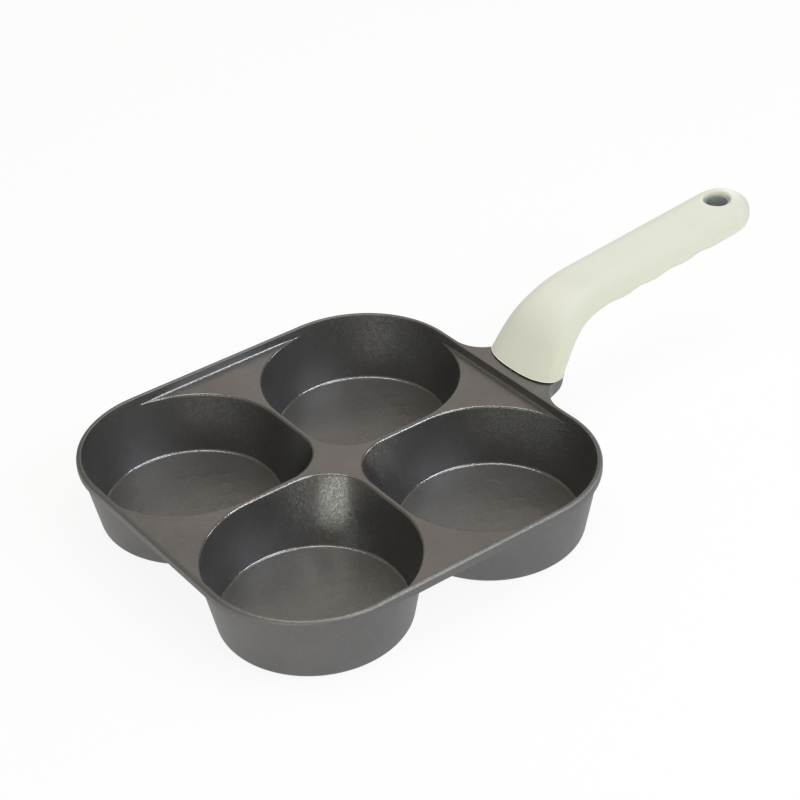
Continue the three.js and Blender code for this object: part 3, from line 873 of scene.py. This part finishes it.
# the handle's seat: tongue on the lug, counterbore under it, socket and insert hole in the handle
def fitHandle(body, handle):
    s = seatSize
    width, thickness, corner = s["tongue"]
    gap, top = s["gap"], s["tongueTo"]
    tongue = bar("tongue", width, thickness, corner, s["tongueFrom"], top)
    bore = drum("bore", s["hole"], s["below"], top + 1, s["sides"])
    seat = drum("seat", s["counterbore"], s["below"], s["seat"], s["counterboreSides"])
    socket = bar("socket", width + 2 * gap, thickness + 2 * gap, corner + gap,
                 s["socketFrom"], top + gap)
    insertHole = drum("insertHole", s["insertHole"], top, s["insertTop"], s["sides"])
    cutWith(body, moveTo(tongue, axisMatrix), "UNION")
    cutWith(body, moveTo(bore, axisMatrix), "DIFFERENCE")
    cutWith(body, moveTo(seat, axisMatrix), "DIFFERENCE")
    cutWith(handle, moveTo(socket, axisMatrix), "DIFFERENCE")
    cutWith(handle, moveTo(insertHole, axisMatrix), "DIFFERENCE")


panBody = makePanBody()
handle = makeHandle()
fitHandle(panBody, handle)
liner = makeLiner()
screw = makeScrew()
washer = makeWasher()
insert = makeInsert()
plates = makePlates()
for piece in (panBody, handle, liner, screw, washer, insert, *[plate for plate, node in plates]):
    smoothFinish(piece)
print("shapes done")


# materials, all in object coordinates and metres

def newMaterial(name, **values):
    material = bpy.data.materials.new(name)
    material.use_nodes = True
    tree = material.node_tree
    shader = tree.nodes["Principled BSDF"]
    for key, value in values.items():
        shader.inputs[key].default_value = value
    place = tree.nodes.new("ShaderNodeTexCoord").outputs["Object"]
    return material, tree, shader, place


# adds a node; values fills its inputs by number, and a socket among them is wired up
def addNode(tree, kind, values, **settings):
    made = tree.nodes.new("ShaderNode" + kind)
    for key, value in settings.items():
        setattr(made, key, value)
    for key, value in values.items():
        if isinstance(value, bpy.types.NodeSocket):
            tree.links.new(value, made.inputs[key])
        else:
            made.inputs[key].default_value = value
    return made


def sums(tree, operation, a, b=0.0, c=0.0):
    return addNode(tree, "Math", {0: a, 1: b, 2: c}, operation=operation).outputs[0]


def vectors(tree, operation, *values):
    made = addNode(tree, "VectorMath", dict(enumerate(values)), operation=operation)
    return made.outputs["Value" if operation == "LENGTH" else "Vector"]


def ramp(tree, value, low, high, toLow, toHigh, kind="LINEAR"):
    values = {0: value, 1: low, 2: high, 3: toLow, 4: toHigh}
    return addNode(tree, "MapRange", values, interpolation_type=kind).outputs[0]


def noise(tree, place, scale, detail=3.0):
    values = {"Vector": place, "Scale": scale, "Detail": detail}
    return addNode(tree, "TexNoise", values).outputs["Fac"]


def tint(tree, factor, dark, light):
    made = addNode(tree, "Mix", {0: factor}, data_type="RGBA")
    made.inputs[6].default_value = (*dark, 1)
    made.inputs[7].default_value = (*light, 1)
    return made.outputs[2]


def bump(tree, height, strength, distance):
    values = {"Height": height, "Strength": strength, "Distance": distance}
    return addNode(tree, "Bump", values).outputs[0]


grainRange = (0.3, 0.7)


# a fine grain in the roughness and the relief
def addGrain(tree, shader, fine, look):
    rough = ramp(tree, fine, *grainRange, *look["roughness"])
    tree.links.new(rough, shader.inputs["Roughness"])
    tree.links.new(bump(tree, fine, *look["relief"]), shader.inputs["Normal"])


# curved is the upward part of the normal where a round begins and where it ends
coatingLook = dict(
    dark=(0.19, 0.186, 0.183), light=(0.235, 0.23, 0.227), metallic=0.95,
    coat={"Coat Weight": 0.08, "Coat Roughness": 0.25, "Coat IOR": 2.4},
    flakes=1900.0, skew=0.13, glint=3.0, glintShare=0.4,
    mottle=45.0, mottleDetail=4.0, mottleRange=(0.32, 0.68),
    roughness=(0.36, 0.44), pooled=0.52, rubbed=0.45, wiped=0.2,
    curved=((0.33, 0.6), (0.9, 0.98)), pooledTop=0.0352, floorBand=0.0002,
    plates=dict(radius=0.0036, edge=0.0006, reach=0.034, fade=0.006, height=0.00008,
                patch=55.0, patchDetail=2.0, patchRange=(0.42, 0.62, 0.15, 1)),
)


# round cells in the base plates' lattice about the middle of each cup
def platePrint(tree, place, spot):
    s = coatingLook["plates"]
    fromMiddle = sums(tree, "ADD", spot.outputs[1], -p["middleY"] * mm)
    x = sums(tree, "SUBTRACT", sums(tree, "ABSOLUTE", spot.outputs[0]), half * mm)
    y = sums(tree, "SUBTRACT", sums(tree, "ABSOLUTE", fromMiddle), half * mm)
    flat = addNode(tree, "CombineXYZ", {0: x, 1: y}).outputs[0]
    side = plateSize["pitch"] / 2 * mm
    row = side * math.sqrt(3)
    nearest = []
    for shift in (0.0, 1.0):
        moved = vectors(tree, "ADD", flat, (side * shift, row * shift, 0))
        folded = vectors(tree, "WRAP", moved, (side, row, 1), (-side, -row, -1))
        nearest.append(vectors(tree, "LENGTH", folded))
    cell = sums(tree, "MINIMUM", *nearest)
    ring = ramp(tree, cell, s["radius"] - s["edge"], s["radius"] + s["edge"], 0, 1, "SMOOTHSTEP")
    inside = ramp(tree, vectors(tree, "LENGTH", flat), s["reach"], s["reach"] - s["fade"], 0, 1)
    patchy = ramp(tree, noise(tree, place, s["patch"], s["patchDetail"]), *s["patchRange"])
    return sums(tree, "MULTIPLY", ring, sums(tree, "MULTIPLY", inside, patchy))


# satin metal-flake coating; the plates below print through faintly on the cups' floors
def coatingMaterial():
    s = coatingLook
    material, tree, shader, place = newMaterial("panCoating", Metallic=s["metallic"], **s["coat"])
    flakes = addNode(tree, "TexVoronoi", {"Vector": place, "Scale": s["flakes"]}).outputs["Color"]
    flake = addNode(tree, "SeparateColor", {0: flakes}).outputs[0]
    glint = sums(tree, "POWER", flake, s["glint"])
    mottle = ramp(tree, noise(tree, place, s["mottle"], s["mottleDetail"]), *s["mottleRange"], 0, 1)
    mottle = sums(tree, "MULTIPLY", mottle, 1 - s["glintShare"])
    shade = sums(tree, "MULTIPLY_ADD", glint, s["glintShare"], mottle)
    tree.links.new(tint(tree, shade, s["dark"], s["light"]), shader.inputs["Base Color"])

    # smoother in fillets and on the mouths' edges, duller on the rim's edge and the cups' floors
    spot = addNode(tree, "SeparateXYZ", {0: place})
    normal = addNode(tree, "TexCoord", {}).outputs["Normal"]
    up = addNode(tree, "SeparateXYZ", {0: normal}).outputs[2]
    begins, ends = s["curved"]
    curved = sums(tree, "MULTIPLY", ramp(tree, up, *begins, 0, 1), ramp(tree, up, *ends, 1, 0))
    below = sums(tree, "LESS_THAN", spot.outputs[2], s["pooledTop"])
    fromFloor = sums(tree, "SUBTRACT", spot.outputs[2], p["floorTop"] * mm)
    onFloor = sums(tree, "LESS_THAN", sums(tree, "ABSOLUTE", fromFloor), s["floorBand"])
    onRound = sums(tree, "MULTIPLY_ADD", below, -s["pooled"] - s["rubbed"], s["rubbed"])
    wiped = sums(tree, "MULTIPLY_ADD", onFloor, s["wiped"], 1.0)
    factor = sums(tree, "ADD", sums(tree, "MULTIPLY", curved, onRound), wiped)
    smooth, dull = s["roughness"]
    rough = ramp(tree, flake, 0, 1, dull, smooth)
    tree.links.new(sums(tree, "MULTIPLY", rough, factor), shader.inputs["Roughness"])

    # every flake lies a little askew on the relief of the print
    printed = sums(tree, "MULTIPLY", onFloor, platePrint(tree, place, spot))
    relief = bump(tree, printed, 1.0, s["plates"]["height"])
    skew = vectors(tree, "SUBTRACT", flakes, (0.5, 0.5, 0.5))
    lean = vectors(tree, "MULTIPLY_ADD", skew, (s["skew"],) * 3, relief)
    tree.links.new(vectors(tree, "NORMALIZE", lean), shader.inputs["Normal"])
    return material


handleLook = dict(dark=(0.725, 0.73, 0.645), light=(0.755, 0.76, 0.675), roughness=(0.46, 0.54),
                  tone=40.0, grain=1500.0, relief=(0.15, 0.00003))


def handleMaterial():
    s = handleLook
    material, tree, shader, place = newMaterial("handleCream")
    tone = noise(tree, place, s["tone"])
    tree.links.new(tint(tree, tone, s["dark"], s["light"]), shader.inputs["Base Color"])
    addGrain(tree, shader, noise(tree, place, s["grain"]), s)
    return material


linerLook = dict(dark=(0.33, 0.365, 0.375), light=(0.4, 0.435, 0.445), roughness=(0.4, 0.52),
                 grain=900.0, relief=(0.15, 0.00003))


def linerMaterial():
    s = linerLook
    material, tree, shader, place = newMaterial("linerGrey")
    fine = noise(tree, place, s["grain"])
    tree.links.new(tint(tree, fine, s["dark"], s["light"]), shader.inputs["Base Color"])
    addGrain(tree, shader, fine, s)
    return material


metalLook = dict(
    zincSteel=dict(dark=(0.5, 0.51, 0.53), light=(0.66, 0.67, 0.69), roughness=(0.24, 0.4),
                   grain=(1400.0, 1400.0, 1400.0), relief=(0.2, 0.00002)),
    insertBrass=dict(dark=(0.5, 0.33, 0.1), light=(0.64, 0.44, 0.15), roughness=(0.26, 0.4),
                     grain=(900.0, 900.0, 900.0), relief=(0.2, 0.00002)),
    plateSteel=dict(dark=(0.42, 0.43, 0.44), light=(0.56, 0.57, 0.58), roughness=(0.24, 0.42),
                    grain=(60.0, 2600.0, 60.0), relief=(0.2, 0.00002)),
)


# bare metal; an uneven grain gives brushed lines
def metalMaterial(name):
    s = metalLook[name]
    material, tree, shader, place = newMaterial(name, Metallic=1.0)
    fine = noise(tree, vectors(tree, "MULTIPLY", place, s["grain"]), 1.0)
    tree.links.new(tint(tree, fine, s["dark"], s["light"]), shader.inputs["Base Color"])
    addGrain(tree, shader, fine, s)
    return material


finishPiece(panBody, "pan_body", coatingMaterial())
finishPiece(handle, "handle", handleMaterial())
finishPiece(liner, "hang_hole_liner", linerMaterial())
zinc = metalMaterial("zincSteel")
finishPiece(screw, "handle_screw", zinc)
finishPiece(washer, "lock_washer", zinc)
finishPiece(insert, "threaded_insert", metalMaterial("insertBrass"))
steel = metalMaterial("plateSteel")
for plate, node in plates:
    finishPiece(plate, node, steel)


# camera, floor and light

cameraSize = dict(eye=(0.6432, -0.4996, 0.5825), right=(0.60405, 0.79585, -0.04198),
                  up=(-0.42506, 0.36628, 0.82778), back=(0.67416, -0.48216, 0.55953),
                  lens=93.70, sensor=36, nearest=0.01)


def makeCamera():
    c = cameraSize
    clearSelection()
    bpy.ops.object.camera_add()
    camera = bpy.context.object
    camera.name = "camera"
    right, up, back, eye = (Vector(c[k]) for k in ("right", "up", "back", "eye"))
    camera.matrix_world = Matrix(((right.x, up.x, back.x, eye.x), (right.y, up.y, back.y, eye.y),
                                  (right.z, up.z, back.z, eye.z), (0, 0, 0, 1)))
    camera.data.lens = c["lens"]
    camera.data.sensor_width = c["sensor"]
    camera.data.clip_start = c["nearest"]
    bpy.context.scene.camera = camera


makeCamera()


floorLook = dict(size=6.0, z=-0.0002, colour=(0.9, 0.9, 0.9), share=0.9, mirrored=0.67)


# plain white floor with a trace of shadow; the coating mirrors it less bright
def makeFloor():
    s = floorLook
    clearSelection()
    bpy.ops.mesh.primitive_plane_add(size=s["size"], location=(0, 0, s["z"]))
    floor = bpy.context.object
    floor.name = "floor"
    material = bpy.data.materials.new("floorWhite")
    material.use_nodes = True
    tree = material.node_tree
    tree.nodes.clear()
    path = tree.nodes.new("ShaderNodeLightPath").outputs
    mirrored = sums(tree, "MAXIMUM", path["Is Glossy Ray"], path["Is Transmission Ray"])
    seen = sums(tree, "MAXIMUM", path["Is Camera Ray"], mirrored)
    share = sums(tree, "MULTIPLY", seen, s["share"])
    strength = sums(tree, "MULTIPLY_ADD", mirrored, s["mirrored"] - 1, 1.0)
    diffuse = addNode(tree, "BsdfDiffuse", {"Color": (*s["colour"], 1)})
    glow = addNode(tree, "Emission", {"Strength": strength})
    mix = addNode(tree, "MixShader", {0: share, 1: diffuse.outputs[0], 2: glow.outputs[0]})
    addNode(tree, "OutputMaterial", {"Surface": mix.outputs[0]})
    floor.data.materials.append(material)
    return floor


floor = makeFloor()


# softboxes round the part: turn and height in degrees, width and height, watts, colour
lightLook = dict(
    target=(0, -0.05, 0.03), far=1.5, world=(0.33, 0.32, 0.26),
    panBoxes=dict(
        panTopRight=(54.4, 75.0, (0.42, 0.42), 3.9, (1.0, 0.985, 0.97)),
        panTopLeft=(-125.6, 76.0, (0.42, 0.42), 2.7, (1.0, 0.985, 0.97)),
        panKey=(-57.0, 12.0, (1.3, 0.2), 3.1, (0.976, 1.0, 0.957)),
        panRightLow=(34.4, 16.0, (0.4, 0.3), 0.6, (0.83, 0.87, 1.0)),
        panBackLow=(74.4, 16.0, (0.4, 0.3), 2.4, (1.0, 0.985, 1.0)),
        panFront=(4.4, 38.0, (0.5, 0.5), 3.8, (0.81, 0.88, 1.0)),
        panRight=(24.4, 38.0, (0.5, 0.5), 3.4, (0.85, 0.89, 1.0)),
        panBack=(44.4, 38.0, (0.28, 0.28), 4.5, (0.775, 0.85, 1.0)),
        panFar=(144.4, 35.0, (0.7, 0.7), 0.94, (1.0, 0.84, 0.85)),
        panHigh=(-40.0, 70.0, (0.5, 0.25), 1.9, (1.0, 0.99, 0.927)),
    ),
    handleBoxes=dict(
        handleTop=(0.0, 90.0, (0.9, 0.9), 9.98, (0.707, 0.78, 1.0)),
        handleFront=(-25.6, 16.0, (0.4, 0.4), 8.52, (1.0, 0.981, 0.8)),
        handleRight=(64.4, 16.0, (0.4, 0.4), 4.11, (0.796, 0.895, 1.0)),
        handleBack=(124.4, 16.0, (0.4, 0.4), 3.42, (0.98, 1.0, 0.88)),
        handleLeft=(189.4, 58.0, (0.7, 0.7), 6.13, (1.0, 0.94, 0.775)),
    ),
)


# the dark pan and the pale handle have a set of boxes each
def makeLights():
    s = lightLook
    target = Vector(s["target"])
    dark = [panBody, screw, washer, insert, floor, *[plate for plate, node in plates]]
    for boxes, things in (("panBoxes", dark), ("handleBoxes", [handle, liner])):
        lit = bpy.data.collections.new(boxes)
        for thing in things:
            lit.objects.link(thing)
        for name, (turn, rise, size, power, colour) in s[boxes].items():
            a, e = math.radians(turn), math.radians(rise)
            away = Vector((math.cos(a) * math.cos(e), math.sin(a) * math.cos(e), math.sin(e)))
            place = target + s["far"] * away
            clearSelection()
            bpy.ops.object.light_add(type="AREA", location=place)
            light = bpy.context.object
            light.name = name
            light.data.shape = "RECTANGLE"
            light.data.size, light.data.size_y = size
            light.data.energy = power
            light.data.color = colour
            light.rotation_euler = (target - place).to_track_quat("-Z", "Y").to_euler()
            light.light_linking.receiver_collection = lit
    world = bpy.data.worlds.new("studio")
    bpy.context.scene.world = world
    world.use_nodes = True
    tree = world.node_tree
    tree.nodes.clear()
    seen = addNode(tree, "LightPath", {}).outputs["Is Camera Ray"]
    sky = addNode(tree, "Background", {"Color": (*s["world"], 1)})
    white = addNode(tree, "Background", {"Color": (1, 1, 1, 1)})
    mix = addNode(tree, "MixShader", {0: seen, 1: sky.outputs[0], 2: white.outputs[0]})
    addNode(tree, "OutputWorld", {"Surface": mix.outputs[0]})


makeLights()
print("camera, floor and light done")

bpy.context.scene.view_settings.view_transform = "Standard"
